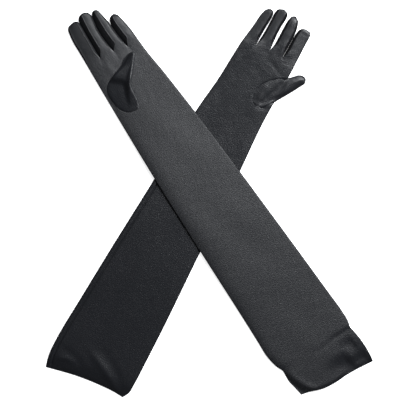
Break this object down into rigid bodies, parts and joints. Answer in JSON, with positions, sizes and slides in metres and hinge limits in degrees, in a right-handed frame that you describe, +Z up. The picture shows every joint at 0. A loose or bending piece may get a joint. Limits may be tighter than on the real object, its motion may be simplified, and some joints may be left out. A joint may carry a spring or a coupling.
{
  "type": "opera gloves",
  "caption": "Long sleeved satin dress gloves lying flat and crossed, palms up, with fourchette fingers, set-in thumbs and turned hems at open cuffs.",
  "frame": {"origin": "centre of the pair's box, on the surface that the gloves lie on", "axes": "+Y towards the fingertips, +X towards the side of the left glove's cuff, +Z up from the surface"},
  "size_m": [0.4438, 0.5271, 0.0143],
  "materials": {
    "black_satin": "stretch satin, shiny side out",
    "satin_reverse": "matt reverse side of the satin"
  },
  "bodies": {
    "right_forearm": {"right_forearm_front": "black_satin", "right_forearm_back": "black_satin", "right_forearm_seam": "black_satin", "right_forearm_fold": "black_satin"},
    "right_upper": {"right_upper_front": "black_satin", "right_upper_back": "black_satin", "right_upper_seam": "black_satin", "right_upper_fold": "black_satin", "right_hem": "satin_reverse"},
    "right_hand": {"right_palm": "black_satin", "right_hand_back": "black_satin", "right_hand_seam": "black_satin", "right_hand_fold": "black_satin", "right_thumb_base": "black_satin"},
    "right_index": {"right_index_front": "black_satin", "right_index_back": "black_satin", "right_index_fourchette": "black_satin"},
    "right_middle": {"right_middle_front": "black_satin", "right_middle_back": "black_satin", "right_middle_fourchette": "black_satin"},
    "right_ring": {"right_ring_front": "black_satin", "right_ring_back": "black_satin", "right_ring_fourchette": "black_satin"},
    "right_little": {"right_little_front": "black_satin", "right_little_back": "black_satin", "right_little_fourchette": "black_satin"},
    "right_thumb": {"right_thumb_front": "black_satin", "right_thumb_back": "black_satin", "right_thumb_side": "black_satin"},
    "left_forearm": {"left_forearm_front": "black_satin", "left_forearm_back": "black_satin", "left_forearm_seam": "black_satin", "left_forearm_fold": "black_satin"},
    "left_upper": {"left_upper_front": "black_satin", "left_upper_back": "black_satin", "left_upper_seam": "black_satin", "left_upper_fold": "black_satin", "left_hem": "satin_reverse"},
    "left_hand": {"left_palm": "black_satin", "left_hand_back": "black_satin", "left_hand_seam": "black_satin", "left_hand_fold": "black_satin", "left_thumb_base": "black_satin"},
    "left_index": {"left_index_front": "black_satin", "left_index_back": "black_satin", "left_index_fourchette": "black_satin"},
    "left_middle": {"left_middle_front": "black_satin", "left_middle_back": "black_satin", "left_middle_fourchette": "black_satin"},
    "left_ring": {"left_ring_front": "black_satin", "left_ring_back": "black_satin", "left_ring_fourchette": "black_satin"},
    "left_little": {"left_little_front": "black_satin", "left_little_back": "black_satin", "left_little_fourchette": "black_satin"},
    "left_thumb": {"left_thumb_front": "black_satin", "left_thumb_back": "black_satin", "left_thumb_side": "black_satin"}
  },
  "joints": [
    {"name": "left_lift", "type": "slide", "parent": "right_forearm", "child": "left_forearm", "axis": [0, 0, 1], "range_m": [0, 0.25]},
    {"name": "right_elbow", "type": "hinge", "parent": "right_forearm", "child": "right_upper", "pos_m": [-0.10628, -0.12713, 0.007], "axis": [-0.8721, 0.4894, 0], "range_deg": [0, 140]},
    {"name": "right_wrist", "type": "hinge", "parent": "right_forearm", "child": "right_hand", "pos_m": [0.03564, 0.12577, 0.007], "axis": [0.8721, -0.4894, 0], "range_deg": [0, 75]},
    {"name": "right_index_bend", "type": "hinge", "parent": "right_hand", "child": "right_index", "pos_m": [0.10625, 0.18763, 0.007], "axis": [0.8832, -0.4689, 0], "range_deg": [0, 90]},
    {"name": "right_middle_bend", "type": "hinge", "parent": "right_hand", "child": "right_middle", "pos_m": [0.09092, 0.20139, 0.007], "axis": [0.8838, -0.4678, 0], "range_deg": [0, 90]},
    {"name": "right_ring_bend", "type": "hinge", "parent": "right_hand", "child": "right_ring", "pos_m": [0.07304, 0.21142, 0.007], "axis": [0.866, -0.5001, 0], "range_deg": [0, 90]},
    {"name": "right_little_bend", "type": "hinge", "parent": "right_hand", "child": "right_little", "pos_m": [0.0531, 0.21573, 0.007], "axis": [0.8509, -0.5254, 0], "range_deg": [0, 90]},
    {"name": "right_thumb_fold", "type": "hinge", "parent": "right_hand", "child": "right_thumb", "pos_m": [0.09882, 0.15109, 0.007], "axis": [-0.4353, -0.9003, 0], "range_deg": [0, 150]},
    {"name": "left_elbow", "type": "hinge", "parent": "left_forearm", "child": "left_upper", "pos_m": [0.09773, -0.13218, 0.007], "axis": [-0.8271, -0.5621, 0], "range_deg": [0, 140]},
    {"name": "left_wrist", "type": "hinge", "parent": "left_forearm", "child": "left_hand", "pos_m": [-0.07933, 0.12835, 0.007], "axis": [0.8271, 0.5621, 0], "range_deg": [0, 75]},
    {"name": "left_index_bend", "type": "hinge", "parent": "left_hand", "child": "left_index", "pos_m": [-0.15696, 0.19045, 0.007], "axis": [0.8668, 0.4987, 0], "range_deg": [0, 90]},
    {"name": "left_middle_bend", "type": "hinge", "parent": "left_hand", "child": "left_middle", "pos_m": [-0.13852, 0.19997, 0.007], "axis": [0.8499, 0.527, 0], "range_deg": [0, 90]},
    {"name": "left_ring_bend", "type": "hinge", "parent": "left_hand", "child": "left_ring", "pos_m": [-0.11948, 0.20807, 0.007], "axis": [0.8216, 0.5701, 0], "range_deg": [0, 90]},
    {"name": "left_little_bend", "type": "hinge", "parent": "left_hand", "child": "left_little", "pos_m": [-0.10229, 0.21552, 0.007], "axis": [0.81, 0.5865, 0], "range_deg": [0, 90]},
    {"name": "left_thumb_fold", "type": "hinge", "parent": "left_hand", "child": "left_thumb", "pos_m": [-0.12962, 0.1383, 0.0143], "axis": [0.5621, -0.8271, 0], "range_deg": [0, 150]}
  ]
}
